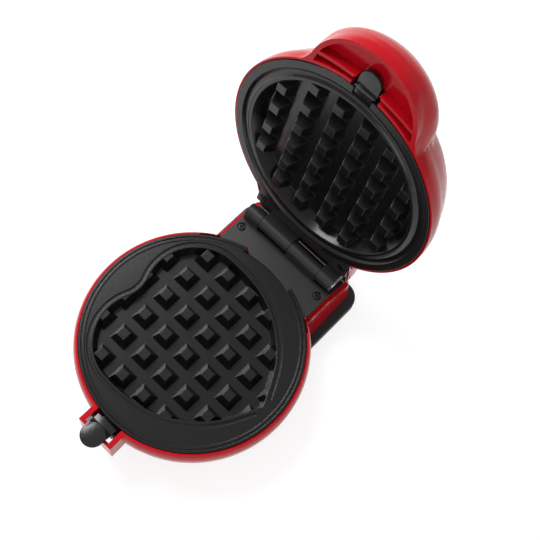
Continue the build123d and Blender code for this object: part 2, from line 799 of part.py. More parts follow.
with BuildPart() as base_waffle_plate:
    add(plate_blank(base_face))
    add(heart_block(base_face, -cavity_wall, plate_underside))
    with BuildSketch(base_face):
        Circle(land_radius)
    extrude(amount=-land_drop, mode=Mode.SUBTRACT)
    add(heart_cavity.part, mode=Mode.SUBTRACT)
    with BuildSketch(base_face):
        Circle(rim_groove_radius + rim_groove_width / 2)
        Circle(rim_groove_radius - rim_groove_width / 2, mode=Mode.SUBTRACT)
    extrude(amount=-rim_groove_depth, mode=Mode.SUBTRACT)
    add(heart_moat.part, mode=Mode.SUBTRACT)
    with BuildSketch(base_face.offset(-flange_thickness - 0.5)):
        with Locations((0, -(skirt_outer + skirt_inner) / 2)):
            Rectangle(2 * 4.6, 4)
    extrude(amount=-2.4, mode=Mode.SUBTRACT)
base_waffle_plate.part.label = "base_waffle_plate"

# Round cavity and its teeth, cut out of the lid plate
with BuildPart() as round_cavity:
    with BuildSketch(section(lid_face)):
        with BuildLine():
            Polyline(
                (0, 0), (round_cavity_radius, 0), (round_floor_radius, -cavity_depth), (0, -cavity_depth), close=True,
            )
        make_face()
    revolve(axis=spin_axis(lid_face))
    add(tooth_grid(lid_face, 0, 6, 6), mode=Mode.SUBTRACT)

with BuildPart() as lid_waffle_plate:
    add(plate_blank(lid_face))
    with BuildSketch(section(lid_face)):
        with BuildLine():
            Polyline(
                (0, 0), (round_cavity_radius + plate_wall, 0),
                (round_floor_radius + plate_wall, -plate_underside), (0, -plate_underside), close=True,
            )
        make_face()
    revolve(axis=spin_axis(lid_face))
    add(round_cavity.part, mode=Mode.SUBTRACT)
    with BuildSketch(section(lid_face)):
        with BuildLine():
            moat = ThreePointArc(
                (channel_inner, 0), ((channel_inner + channel_outer) / 2, -channel_depth), (channel_outer, 0),
            )
            Line(moat @ 1, moat @ 0)
        make_face()
    revolve(axis=spin_axis(lid_face), mode=Mode.SUBTRACT)
    with BuildSketch(lid_face):
        with Locations((0, -plate_radius)):
            Rectangle(2 * 5.5, 2 * 4.1)
    extrude(amount=-flange_thickness, mode=Mode.SUBTRACT)
lid_waffle_plate.part.label = "lid_waffle_plate"

# Hinge: the same bracket in both halves, one pin
base_hinge_bracket = hinge_bracket(base_face)
base_hinge_bracket.part.label = "base_hinge_bracket"
lid_hinge_bracket = hinge_bracket(lid_face)
lid_hinge_bracket.part.label = "lid_hinge_bracket"
hinge_pin = cross_pin(base_face, hinge_offset, axis_rise, pin_radius, knuckle_start + long_knuckle + knuckle_gap
                      + short_knuckle + 0.6)
hinge_pin.part.label = "hinge_pin"
hinge_seats = [(x, hinge_offset - hinge_screw_setback) for x in (-hinge_screw_x, hinge_screw_x)]
head_seat = bracket_top - screw_head_height
base_hinge_screws = screw_group([at(base_face, x, y, head_seat) for x, y in hinge_seats], 9)
base_hinge_screws.part.label = "base_hinge_screws"
lid_hinge_screws = screw_group([at(lid_face, x, y, head_seat) for x, y in hinge_seats], 9)
lid_hinge_screws.part.label = "lid_hinge_screws"

# Release tabs with their pins and springs
base_arm_inner = tab_arm / 2 - base_tab_pivot_y
base_arm_outer = -tab_arm / 2 - base_tab_pivot_y
base_bridge = (
    (base_arm_inner, -0.7), (base_arm_outer + 0.2, -0.7), (-base_tab_edge + 1.4, base_pad_top - 1.3),
    (-base_tab_edge, base_pad_top), (-base_tab_edge - 2, base_pad_top),
    (-base_tab_edge - 2, base_pad_top - tab_thickness), (-base_tab_edge, base_pad_top - tab_thickness - 1.2),
    (base_arm_outer, base_pad_top - tab_thickness - 2.6),
)
base_release_tab = release_tab(
    base_face, base_tab_half_width, base_tab_edge, base_tab_tip, base_tab_pivot_y, base_tab_pivot_depth,
    base_pad_top, base_bridge, -3.1, skirt_outer - 0.5, 4.0,
)
base_release_tab.part.label = "base_release_tab"
base_release_pin = cross_pin(base_face, -base_tab_pivot_y, -base_tab_pivot_depth, tab_pin_radius,
                             guard_half_width - 1.3)
base_release_pin.part.label = "base_release_pin"
base_release_spring = torsion_spring(base_face, base_tab_pivot_y, base_tab_pivot_depth, base_tab_half_width + 0.5)
base_release_spring.part.label = "base_release_spring"
lid_arm_inner = tab_arm / 2 - lid_tab_pivot_y
lid_arm_outer = -tab_arm / 2 - lid_tab_pivot_y
lid_bridge = (
    (lid_arm_inner, -0.5), (-lid_tab_edge, -0.5), (-lid_tab_edge, lid_pad_top), (lid_arm_outer, lid_pad_top),
)
lid_release_tab = release_tab(
    lid_face, lid_tab_half_width, lid_tab_edge, lid_tab_tip, lid_tab_pivot_y, lid_tab_pivot_depth,
    lid_pad_top, lid_bridge, -0.5, skirt_outer - 1.2, 5.0,
)
lid_release_tab.part.label = "lid_release_tab"
lid_release_pin = cross_pin(lid_face, -lid_tab_pivot_y, -lid_tab_pivot_depth, tab_pin_radius,
                            lid_tab_half_width + 4.7)
lid_release_pin.part.label = "lid_release_pin"
lid_release_spring = torsion_spring(lid_face, lid_tab_pivot_y, lid_tab_pivot_depth, lid_tab_half_width + 0.4)
lid_release_spring.part.label = "lid_release_spring"

# Heating parts
base_heating_element = heating_element(base_face)
base_heating_element.part.label = "base_heating_element"
lid_heating_element = heating_element(lid_face)
lid_heating_element.part.label = "lid_heating_element"
base_heat_shield = heat_shield(base_face)
base_heat_shield.part.label = "base_heat_shield"
lid_heat_shield = heat_shield(lid_face)
lid_heat_shield.part.label = "lid_heat_shield"
base_shield_screws = screw_group(
    around(base_face, pan_screw_circle, pan_screw_angles, -pan_flange_depth), pan_screw_length,
)
base_shield_screws.part.label = "base_shield_screws"
lid_shield_screws = screw_group(
    around(lid_face, pan_screw_circle, pan_screw_angles, -pan_flange_depth), pan_screw_length,
)
lid_shield_screws.part.label = "lid_shield_screws"

# Thermostat and thermal fuse under the base pan
pan_bottom = face_height - pan_floor_depth - pan_sheet
with BuildPart() as base_thermostat:
    with BuildSketch(ground.offset(pan_bottom - seat_gap)):
        Circle(8.5)
    extrude(amount=-4.5)
    chamfer(base_thermostat.faces().sort_by(Axis.Z)[0].edges(), 0.8)
    with BuildSketch(ground.offset(pan_bottom - seat_gap - 4.5)):
        with GridLocations(8, 1, 2, 1):
            Rectangle(0.8, 4.8)
    extrude(amount=-3.5)
base_thermostat.part.label = "base_thermostat"

with BuildPart() as thermal_fuse:
    with BuildSketch(Plane.YZ.offset(-6)):
        with Locations((plate_y - 18, pan_bottom - seat_gap - 2.0)):
            Circle(2.0)
    extrude(amount=12)
    with BuildSketch(Plane.YZ.offset(-10)):
        with Locations((plate_y - 18, pan_bottom - seat_gap - 2.0)):
            Circle(0.5)
    extrude(amount=20)
thermal_fuse.part.label = "thermal_fuse"

# Rear foot slab under the boss, cut to the bowl
with BuildPart() as rear_foot:
    with BuildSketch(ground.offset(foot_slab_bottom)):
        with Locations((0, (foot_slab_front + foot_slab_rear) / 2)):
            RectangleRounded(2 * foot_slab_half_width, foot_slab_rear - foot_slab_front, foot_slab_corner)
    extrude(amount=foot_slab_top - foot_slab_bottom)
    fillet(rear_foot.faces().sort_by(Axis.Z)[-1].edges(), 1.2)
    with BuildSketch(section(base_face)):
        with BuildLine():
            side = bowl_side(-seat_gap)
            Polyline(side @ 1, (0, -belly_depth), (0, -face_height), (foot_radius + seat_gap, -face_height), side @ 0)
        make_face()
    revolve(axis=spin_axis(base_face), mode=Mode.SUBTRACT)
    with Locations(Plane(origin=(0, plate_y, foot_slab_bottom), x_dir=(1, 0, 0), z_dir=(0, 0, -1))):
        with Locations(*[(x, -(hinge_offset - hinge_screw_setback)) for x in (-hinge_screw_x, hinge_screw_x)]):
            CounterBoreHole(screw_shaft + seat_gap, screw_head + seat_gap, 1.6, 8)
        with Locations((-rear_foot_x, -rear_foot_y), (rear_foot_x, -rear_foot_y)):
            Hole(rubber_foot_radius + seat_gap, rubber_foot_height + seat_gap - foot_slab_bottom)
rear_foot.part.label = "rear_foot"

with BuildPart() as rear_foot_screws:
    for x, y in hinge_seats:
        add(screw(Plane(origin=(x, plate_y + y, foot_slab_bottom + 1.6), x_dir=(1, 0, 0), z_dir=(0, 0, -1)), 9))
rear_foot_screws.part.label = "rear_foot_screws"

# Bottom cover with vents and recessed screws
cover_bottom = face_height - foot_depth
cover_top = cover_bottom + cover_thickness
cover_seats = around(base_face, cover_post_circle - 5.5, cover_screw_angles, -foot_depth + screw_head_height, True)
with BuildPart() as bottom_cover:
    with BuildSketch(ground.offset(cover_bottom)):
        Circle(foot_radius - wall - cover_clearance)
    extrude(amount=cover_thickness)
    chamfer(bottom_cover.faces().sort_by(Axis.Z)[0].edges(), 0.5)
    with BuildSketch(ground.offset(cover_bottom)):
        with PolarLocations(18, 10):
            SlotOverall(9, 2.2)
    extrude(amount=cover_thickness, mode=Mode.SUBTRACT)
    for seat in cover_seats:
        with Locations(seat.offset(screw_head_height)):
            CounterBoreHole(screw_shaft + seat_gap / 2, screw_head + seat_gap, screw_head_height, 4)
    with BuildSketch(ground.offset(cover_bottom)):
        with Locations((-front_foot_x, -front_foot_y), (front_foot_x, -front_foot_y)):
            Circle(rubber_foot_radius + seat_gap)
    extrude(amount=rubber_foot_height + seat_gap - cover_bottom, mode=Mode.SUBTRACT)
bottom_cover.part.label = "bottom_cover"

bottom_cover_screws = screw_group(cover_seats, 8)
bottom_cover_screws.part.label = "bottom_cover_screws"

with BuildPart() as rubber_feet:
    with BuildSketch(ground):
        with Locations((-front_foot_x, -front_foot_y), (front_foot_x, -front_foot_y),
                       (-rear_foot_x, rear_foot_y), (rear_foot_x, rear_foot_y)):
            Circle(rubber_foot_radius)
    extrude(amount=rubber_foot_height)
    chamfer(rubber_feet.faces().filter_by(Plane.XY).sort_by(Axis.Z)[:4].edges(), 0.5)
rubber_feet.part.label = "rubber_feet"

# Terminal block in the boss, where the supply cord ends
with BuildPart() as terminal_block:
    with BuildSketch(ground.offset(foot_slab_top + seat_gap)):
        with Locations((0, 68.5)):
            Rectangle(20, 9)
    extrude(amount=8)
    with BuildSketch(ground.offset(foot_slab_top + seat_gap + 8)):
        with Locations((0, 68.5)):
            with GridLocations(10, 1, 2, 1):
                Circle(2.2)
    extrude(amount=-5, mode=Mode.SUBTRACT)
    with BuildSketch(Plane.XZ.offset(-plate_y - 73.5)):
        with Locations((0, foot_slab_top + seat_gap + 3.2)):
            with GridLocations(10, 1, 2, 1):
                Circle(1.6)
    extrude(amount=9.5, mode=Mode.SUBTRACT)
terminal_block.part.label = "terminal_block"

# Cord grommet in the rear wall of the boss
with BuildPart() as cord_grommet:
    with BuildSketch(gland_plane):
        Circle(gland_radius + gland_lip)
    extrude(amount=-2)
    fillet(cord_grommet.faces().sort_by(Axis.Y)[-1].edges(), 0.8)
    with BuildSketch(gland_plane):
        Circle(gland_radius)
    extrude(amount=6)
    with BuildSketch(gland_plane.offset(6)):
        Circle(cord_bore)
    extrude(amount=-8, mode=Mode.SUBTRACT)
cord_grommet.part.label = "cord_grommet"

# Indicator lens on the crown of the lid, with its lamp behind it
with BuildPart() as indicator_lens:
    with BuildSketch(at(lid_face, 0, lens_y, -lens_depth - 0.7)):
        Circle(lens_radius)
    extrude(amount=4)
    fillet(indicator_lens.faces().sort_by(Axis(lid_face.origin, lid_face.z_dir))[0].edges(), 0.6)
    with BuildSketch(at(lid_face, 0, lens_y, -lens_depth + 3.3)):
        Circle(lens_radius + 1.3)
    extrude(amount=1)
    with BuildSketch(at(lid_face, 0, lens_y, -lens_depth + 0.7)):
        Circle(lamp_radius + 2 * seat_gap)
    extrude(amount=5, mode=Mode.SUBTRACT)
indicator_lens.part.label = "indicator_lens"

with BuildPart() as indicator_lamp:
    with BuildSketch(at(lid_face, 0, lens_y, -lens_depth + 0.7 + seat_gap)):
        Circle(lamp_radius)
    extrude(amount=8)
    fillet(indicator_lamp.faces().sort_by(Axis(lid_face.origin, lid_face.z_dir))[0].edges(), 0.8)
indicator_lamp.part.label = "indicator_lamp"

os.makedirs("parts", exist_ok=True)
pieces = (
    base_housing, lid_shell, base_waffle_plate, lid_waffle_plate, base_hinge_bracket, lid_hinge_bracket, hinge_pin,
    base_hinge_screws, lid_hinge_screws, base_release_tab, base_release_pin, base_release_spring, lid_release_tab,
    lid_release_pin, lid_release_spring, base_heating_element, lid_heating_element, base_heat_shield,
    lid_heat_shield, base_shield_screws, lid_shield_screws, base_thermostat, thermal_fuse, rear_foot,
    rear_foot_screws, bottom_cover, bottom_cover_screws, rubber_feet, terminal_block, cord_grommet,
    indicator_lens, indicator_lamp,
)
for piece in pieces:
    export_step(piece.part, f"parts/{piece.part.label}.step")
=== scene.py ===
import json
from bisect import bisect_right
from math import atan2, cos, degrees, hypot, pi, radians, sin

import bmesh
import bpy
from mathutils import Matrix, Vector
from mathutils.bvhtree import BVHTree

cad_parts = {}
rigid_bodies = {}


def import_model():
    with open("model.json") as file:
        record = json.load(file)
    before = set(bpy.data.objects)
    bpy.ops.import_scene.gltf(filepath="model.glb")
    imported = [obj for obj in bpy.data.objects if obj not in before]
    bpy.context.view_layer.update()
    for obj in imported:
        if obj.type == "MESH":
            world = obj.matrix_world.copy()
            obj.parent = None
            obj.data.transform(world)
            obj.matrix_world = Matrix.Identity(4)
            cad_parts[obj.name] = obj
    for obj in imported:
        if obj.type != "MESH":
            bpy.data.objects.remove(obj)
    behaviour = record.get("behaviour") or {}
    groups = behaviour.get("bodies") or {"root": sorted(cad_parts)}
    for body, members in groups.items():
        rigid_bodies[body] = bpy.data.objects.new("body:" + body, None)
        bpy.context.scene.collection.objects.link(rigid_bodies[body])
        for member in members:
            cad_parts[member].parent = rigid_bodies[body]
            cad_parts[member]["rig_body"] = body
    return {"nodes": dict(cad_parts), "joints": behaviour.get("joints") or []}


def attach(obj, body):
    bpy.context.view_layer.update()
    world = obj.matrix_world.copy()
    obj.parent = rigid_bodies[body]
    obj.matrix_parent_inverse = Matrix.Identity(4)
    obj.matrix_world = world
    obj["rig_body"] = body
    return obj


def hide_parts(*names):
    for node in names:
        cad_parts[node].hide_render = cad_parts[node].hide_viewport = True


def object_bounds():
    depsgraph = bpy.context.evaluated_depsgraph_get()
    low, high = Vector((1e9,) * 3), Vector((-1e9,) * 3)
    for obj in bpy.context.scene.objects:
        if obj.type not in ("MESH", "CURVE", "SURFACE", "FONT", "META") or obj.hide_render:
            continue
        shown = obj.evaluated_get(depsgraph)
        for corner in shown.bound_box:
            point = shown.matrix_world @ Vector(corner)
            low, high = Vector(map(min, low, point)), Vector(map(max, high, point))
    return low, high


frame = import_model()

cad_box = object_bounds()
MM = 0.001

# Where the two halves stand, in metres: the middle of each cooking face, and the hinge axis
joints = {joint["name"]: joint for joint in frame["joints"]}
hinge = Vector(joints["lid_hinge"]["pos_m"])
open_angle = radians(joints["lid_hinge"]["range_deg"][1])
hinge_offset = 75.0 * MM
axis_rise = 0.5 * MM
base_face = Matrix.Translation(hinge - Vector((0, hinge_offset, axis_rise)))
lid_face = (
    Matrix.Translation(hinge) @ Matrix.Rotation(-open_angle, 4, "X")
    @ Matrix.Translation((0, -hinge_offset, axis_rise)) @ Matrix.Rotation(pi, 4, "Y")
)


def srgb(code):
    """Linear colour of an sRGB hex value."""
    parts = [int(code[i:i + 2], 16) / 255 for i in (1, 3, 5)]
    linear = [c / 12.92 if c <= 0.04045 else ((c + 0.055) / 1.055) ** 2.4 for c in parts]
    return (*linear, 1.0)


def add(tree, kind, settings=None, links=None):
    """Adds a node: settings go to its properties or inputs, links join its inputs to other nodes' outputs."""
    node = tree.nodes.new(kind)
    for name, value in (settings or {}).items():
        if isinstance(name, str) and name not in node.inputs:
            setattr(node, name, value)
        else:
            node.inputs[name].default_value = value
    for name, source in (links or {}).items():
        tree.links.new(source, node.inputs[name])
    return node


# Places of the two colours and the result on a colour Mix node
MIX_A, MIX_B, MIX_RESULT = 6, 7, 2


def new_material(name):
    material = bpy.data.materials.new(name)
    material.use_nodes = True
    tree = material.node_tree
    tree.nodes.clear()
    shader = add(tree, "ShaderNodeBsdfPrincipled")
    add(tree, "ShaderNodeOutputMaterial", links={"Surface": shader.outputs[0]})
    place = add(tree, "ShaderNodeTexCoord").outputs["Object"]
    return material, tree, shader, place


def set_shader(shader, **values):
    for name, value in values.items():
        shader.inputs[name.replace("_", " ")].default_value = value


def grain(tree, place, size_mm, detail=2.0):
    """Noise whose lumps are about the given size across."""
    noise = add(tree, "ShaderNodeTexNoise", {"Scale": 1 / (size_mm * MM), "Detail": detail},
                {"Vector": place})
    return noise.outputs["Fac"]


def spread(tree, value, low, high, start=0.3, end=0.7):
    """Maps a pattern to the range from low to high."""
    mapped = add(tree, "ShaderNodeMapRange",
                 {"From Min": start, "From Max": end, "To Min": low, "To Max": high}, {"Value": value})
    return mapped.outputs[0]


def two_tone(tree, shader, first, second, pattern):
    """Base colour that drifts between two near colours."""
    tint = add(tree, "ShaderNodeMix", {"data_type": "RGBA", MIX_A: srgb(first), MIX_B: srgb(second)},
               {0: pattern})
    tree.links.new(tint.outputs[MIX_RESULT], shader.inputs["Base Color"])


def bump(tree, shader, height, depth_mm, strength, edge_mm=0.3):
    """Fine relief, on top of edges that look broken to the given radius, as moulded and cast edges are."""
    edge = add(tree, "ShaderNodeBevel", {"samples": 6, "Radius": edge_mm * MM})
    node = add(tree, "ShaderNodeBump", {"Distance": depth_mm * MM, "Strength": strength},
               {"Height": height, "Normal": edge.outputs[0]})
    tree.links.new(node.outputs[0], shader.inputs["Normal"])


def glossy_red_abs():
    """Gloss-moulded ABS in deep red: soft broad highlights, a little uneven where the resin shrank."""
    material, tree, shader, place = new_material("glossy_red_abs")
    two_tone(tree, shader, "#C00D1C", "#B40A18", grain(tree, place, 26.0))
    tree.links.new(spread(tree, grain(tree, place, 3.0), 0.18, 0.25), shader.inputs["Roughness"])
    set_shader(shader, IOR=1.54, Specular_IOR_Level=0.14, Coat_Weight=0.06, Coat_Roughness=0.06)
    bump(tree, shader, grain(tree, place, 8.0), 0.02, 0.5)
    return material


def nonstick_coating():
    """Sprayed fluoropolymer on cast aluminium: black, satin, with the fine orange peel of the spray."""
    material, tree, shader, place = new_material("nonstick_coating")
    speck = grain(tree, place, 0.5, 3.0)
    two_tone(tree, shader, "#0E0E0F", "#151516", speck)
    tree.links.new(spread(tree, speck, 0.18, 0.26), shader.inputs["Roughness"])
    set_shader(shader, IOR=1.45)
    bump(tree, shader, speck, 0.015, 0.5, 0.55)
    return material


def moulded(name, colour, other, roughness, grain_mm, depth_mm, ior=1.5):
    """Moulded plastic, rubber or glass: colour, gloss and fine relief all vary with one grain."""
    material, tree, shader, place = new_material(name)
    speck = grain(tree, place, grain_mm)
    two_tone(tree, shader, colour, other, speck)
    tree.links.new(spread(tree, speck, roughness - 0.04, roughness + 0.05), shader.inputs["Roughness"])
    set_shader(shader, IOR=ior)
    bump(tree, shader, speck, depth_mm, 0.5)
    return material


def metal(name, colour, roughness, grain_mm):
    """Bare or plated metal whose gloss and fine relief vary with one grain."""
    material, tree, shader, place = new_material(name)
    speck = grain(tree, place, grain_mm)
    set_shader(shader, Base_Color=srgb(colour), Metallic=1.0)
    tree.links.new(spread(tree, speck, roughness - 0.05, roughness + 0.08), shader.inputs["Roughness"])
    bump(tree, shader, speck, 0.01, 0.4)
    return material


red = glossy_red_abs()
coating = nonstick_coating()
# Glass-filled nylon from a spark-eroded mould: dark grey, matt enough to light evenly
nylon = moulded("glass_filled_nylon", "#1F1F1F", "#272727", 0.42, 0.5, 0.02)
# Acetal from a polished mould: black with clear highlights along its rounded edges
acetal = moulded("gloss_black_acetal", "#161617", "#1C1C1E", 0.22, 2.0, 0.01)
# Nitrile rubber: dull black with hardly a highlight
rubber = moulded("black_nitrile_rubber", "#1A1A1A", "#222222", 0.7, 0.7, 0.03)
# Polypropylene from a grained mould: black with a low, broken sheen
cover_black = moulded("grained_black_polypropylene", "#19191A", "#222223", 0.5, 0.7, 0.03)
# Centreless-ground rod: bright, with clear highlights
bright_steel = metal("ground_steel_rod", "#D5D5D3", 0.18, 0.6)
# Zinc plate: pale blue-grey and a little cloudy
zinc = metal("zinc_plated_steel", "#B9BBBD", 0.3, 0.8)
# Black oxide: so dark that only the highlights tell it from plastic
black_oxide = metal("black_oxide_steel", "#3A3B3D", 0.35, 0.6)
# Annealed stainless sheath of a heater: dull straw grey
sheath = metal("annealed_heater_sheath", "#6E6A63", 0.45, 0.8)
# Pressed aluminium sheet: pale, with a satin spread of light
pan_sheet = metal("pressed_aluminium_sheet", "#C9CBCE", 0.35, 1.2)
# Drawn brass: warm yellow, satin
brass = metal("drawn_brass_can", "#C9A45A", 0.3, 0.8)
# Amber polycarbonate: glossy, deep orange
amber = moulded("amber_polycarbonate", "#C8641A", "#D06C20", 0.1, 4.0, 0.005, 1.58)
# Glass bulb over the peach glow of its electrodes
lamp_glass = moulded("lamp_glass", "#D8B08A", "#E0B890", 0.08, 4.0, 0.005)


def through(stations):
    """Smooth function through (place, value) pairs, level past both ends."""
    places, values = zip(*stations)
    steps = [(values[i + 1] - values[i]) / (places[i + 1] - places[i]) for i in range(len(places) - 1)]
    slopes = [steps[0], *((a + b) / 2 for a, b in zip(steps, steps[1:])), steps[-1]]

    def value(place):
        if place <= places[0]:
            return values[0]
        if place >= places[-1]:
            return values[-1]
        i = bisect_right(places, place) - 1
        gap = places[i + 1] - places[i]
        t = (place - places[i]) / gap
        return ((2 * t ** 3 - 3 * t ** 2 + 1) * values[i] + (t ** 3 - 2 * t ** 2 + t) * gap * slopes[i]
                + (3 * t ** 2 - 2 * t ** 3) * values[i + 1] + (t ** 3 - t ** 2) * gap * slopes[i + 1])

    return value


refine_rounds = 4


def refine(form, longest, where):
    """Splits edges over a length in mm, in the places where a wall is about to be bent."""
    for _ in range(refine_rounds):
        edges = [e for e in form.edges if e.calc_length() > longest * MM and all(where(v) for v in e.verts)]
        if not edges:
            break
        bmesh.ops.subdivide_edges(form, edges=edges, cuts=1)
        bmesh.ops.triangulate(form, faces=[f for f in form.faces if len(f.verts) > 3])


# Measures from here to the pieces are in mm, in a half's own frame: x across, y towards the hinge, and z out
# of the cooking face, so that a depth below the face is -z

# Walls of the rear boss beside the hinge bracket: each is shifted inwards and ends level with the bracket's
# seat, which is flat as far as the bend and slopes away behind it
boss_front = 45.0
boss_wall_inner = 33.7
boss_wall_shift = 1.6
boss_wall_nearest = 33.2
seat_level = -9.0
seat_bend = 70.0
seat_slope = 0.344


def beside_bracket(x, y, z):
    """Point of a boss wall, brought close to the bracket and down to its seat."""
    top = seat_level - seat_slope * max(0.0, y - seat_bend)
    side = max(boss_wall_nearest, abs(x) - boss_wall_shift)
    return (side if x > 0 else -side), y, min(z, top)


# Outer side of the bowl by depth: its radius in the solid, and what the rounder belly adds to it. Points
# within bowl_skin of that radius belong to the outer side, which ends at the depth bowl_foot.
bowl_radius = through(((0.8, 62.4), (4.0, 63.2), (8.0, 62.2), (20.0, 57.0), (33.0, 48.0)))
bowl_gain = through((
    (0.0, -1.0), (2.6, -0.7), (4.5, -0.4), (6.0, 0.1), (8.8, 1.05), (12.0, 2.15), (16.0, 2.55), (20.0, 2.3),
    (26.0, 1.3), (30.0, 0.4), (33.0, 0.0),
))
bowl_skin = 0.9
bowl_foot = 33.2
bowl_edge = 3.0

# Guard round the base tab: below a fixed depth its walls are stretched, until they have dropped in full
guard_start = -64.2
guard_side = 13.0
guard_fixed_depth = 9.0
guard_walls = 6.0
guard_drop = 4.0


def fuller_bowl(form):
    """Belly rounder, boss walls lower, guard deeper."""
    away = base_face.inverted()

    def on_boss_wall(vert):
        spot = away @ vert.co
        return spot.y > boss_front * MM and abs(spot.x) > boss_wall_inner * MM

    refine(form, bowl_edge, on_boss_wall)
    for vert in form.verts:
        x, y, z = (away @ vert.co) / MM
        depth = -z
        radius = hypot(x, y)
        if abs(radius - bowl_radius(depth)) < bowl_skin and depth < bowl_foot:
            scale = 1 + bowl_gain(depth) / radius
            x, y = x * scale, y * scale
        elif y > boss_front and abs(x) > boss_wall_inner:
            x, y, z = beside_bracket(x, y, z)
        elif y < guard_start and abs(x) < guard_side and depth > guard_fixed_depth:
            z -= guard_drop * min(1.0, (depth - guard_fixed_depth) / guard_walls)
        vert.co = base_face @ Vector((x * MM, y * MM, z * MM))


# Sides of the foot slab, set in to stay under the boss walls as they are seen
foot_side = 30.0
foot_shift_left = 2.8
foot_shift_right = 0.2


def narrower_foot(form):
    away = base_face.inverted()
    for vert in form.verts:
        x, y, z = away @ vert.co
        if y > boss_front * MM and abs(x) > foot_side * MM:
            vert.co.x += (-foot_shift_right if x > 0 else foot_shift_left) * MM


# Outer side of the dome as radius and depth, with a full shoulder. The rim and the crown round the lens stay.
dome_stations = ((61.2, 3.0), (58.6, 12.5), (54.2, 22.5), (51.5, 26.8), (47.5, 29.5), (40.0, 31.2),
                 (33.0, 32.2), (28.0, 32.8))
dome_reach = through([
    (degrees(atan2(depth, radius)), hypot(radius, depth)) for radius, depth in dome_stations
])
crown_radius = 29.0
rim_depth = 2.0
boss_wall_radius = 62.0

# Back of the finger handle: a round wall that leans in with depth and spreads sideways behind
handle_inset = through(((0.0, 0.0), (8.0, 0.8), (14.0, 3.3), (19.0, 7.3), (23.5, 12.8), (26.0, 19.0),
                        (27.6, 26.0), (29.0, 32.0)))
handle_middle = -53.8
handle_radius = 31.2
handle_spread = 0.1
spread_start = 5.0
spread_depth = 13.0
handle_zone = -20.0

# Search for the handle's wall along a ray: distances tried, halvings after that, and how fast the reach
# shrinks with the gap by which a ray passes beside the handle
search_from = 96
search_to = 42
search_step = 3
halvings = 9
miss_factor = 3

# Width over which dome and handle flow into each other, at the rim and behind
crease_at_rim = 6.0
crease_behind = 30.0
crease_depth = 15.0

# Points of the lid that move: those that nothing of the lid hides from outside, seen from a start just off
# the skin, and whose push is neither idle nor too long. None leaves the box of the solids.
lid_edge = 2.5
refined_from = 40.0
box_margin = 0.1
least_push = 0.02
most_push = 14.0
ray_start = 0.4
ray_length = 100.0
smoothing_rounds = 10


def beyond_handle(spot, broad=1.0):
    """How far a point lies outside the wall of the handle."""
    return hypot(spot.x * broad, spot.y - handle_middle) + handle_inset(-spot.z) - handle_radius


def handle_reach(way):
    """Distance at which a ray from the lid's middle leaves the handle, or a shorter one if it misses it."""
    def inside(distance):
        spot = way * distance
        broad = 1 - handle_spread * max(0.0, min(1.0, (-spot.z - spread_start) / spread_depth))
        return beyond_handle(spot, broad) < 0

    near = next((t for t in range(search_from, search_to, -search_step) if inside(t)), None)
    if near is None:
        nearest = way.y * handle_middle
        return nearest - miss_factor * beyond_handle(way * nearest)
    far = near + search_step
    for _ in range(halvings):
        half = (near + far) / 2
        near, far = (half, far) if inside(half) else (near, half)
    return near


def lid_reach(spot, way):
    """Distance from the lid's middle to the wanted outer side, in the direction of a point."""
    dome = dome_reach(degrees(atan2(-spot.z, hypot(spot.x, spot.y))))
    handle = handle_reach(way) if spot.y < handle_zone else 0.0
    crease = crease_at_rim + (crease_behind - crease_at_rim) * min(1.0, -spot.z / crease_depth)
    blend = max(crease - abs(dome - handle), 0.0) / crease
    return max(dome, handle) + blend ** 2 * crease / 4


def room_in_box(outward):
    """Distance from the lid's middle to the side of the CAD box, less a margin."""
    rooms = []
    for axis in range(3):
        wall = cad_box[outward[axis] > 0][axis] - lid_face.translation[axis]
        if wall * outward[axis] > 0:
            rooms.append(wall / outward[axis] / MM - box_margin)
    return min(rooms)


def fuller_lid(form):
    """Shoulder of the dome and back of the handle pushed out to one full curve, boss walls lower."""
    away = lid_face.inverted()
    turn = lid_face.to_3x3()

    def behind_rim(vert):
        spot = away @ vert.co
        return spot.z < -rim_depth * MM and spot.length > refined_from * MM

    refine(form, lid_edge, behind_rim)
    skins = BVHTree.FromBMesh(form)
    moves = []
    for vert in form.verts:
        spot = (away @ vert.co) / MM
        radius = hypot(spot.x, spot.y)
        if spot.y > boss_front and abs(spot.x) > boss_wall_inner and radius > boss_wall_radius:
            vert.co = lid_face @ (Vector(beside_bracket(*spot)) * MM)
            continue
        if spot.z > -rim_depth or radius < crown_radius:
            continue
        reach = spot.length
        way = spot / reach
        outward = (turn @ way).normalized()
        wanted = min(lid_reach(spot, way), room_in_box(outward))
        if not least_push < wanted - reach < most_push:
            continue
        start = vert.co + outward * ray_start * MM
        if skins.ray_cast(start, outward, ray_length * MM)[0] is None:
            moves.append((vert, wanted / reach))
    for vert, scale in moves:
        vert.co = lid_face @ ((away @ vert.co) * scale)
    for _ in range(smoothing_rounds):
        bmesh.ops.smooth_vert(form, verts=[vert for vert, scale in moves], factor=0.5, use_axis_x=True,
                              use_axis_y=True, use_axis_z=True)


# Edges that turn by more than this many degrees stay sharp, and facets that turn by less than flat_turn are
# joined. Vertices closer than weld_mm are merged.
sharp_turn = 24
flat_turn = 1.0
weld_mm = 0.002


def smooth(mesh):
    """Smooth shading with sharp edges kept. The facets' stored normals no longer fit and are dropped."""
    stored = mesh.attributes.get("custom_normal")
    if stored:
        mesh.attributes.remove(stored)
    mesh.polygons.foreach_set("use_smooth", [True] * len(mesh.polygons))
    mesh.set_sharp_from_angle(angle=radians(sharp_turn))
    mesh.update()


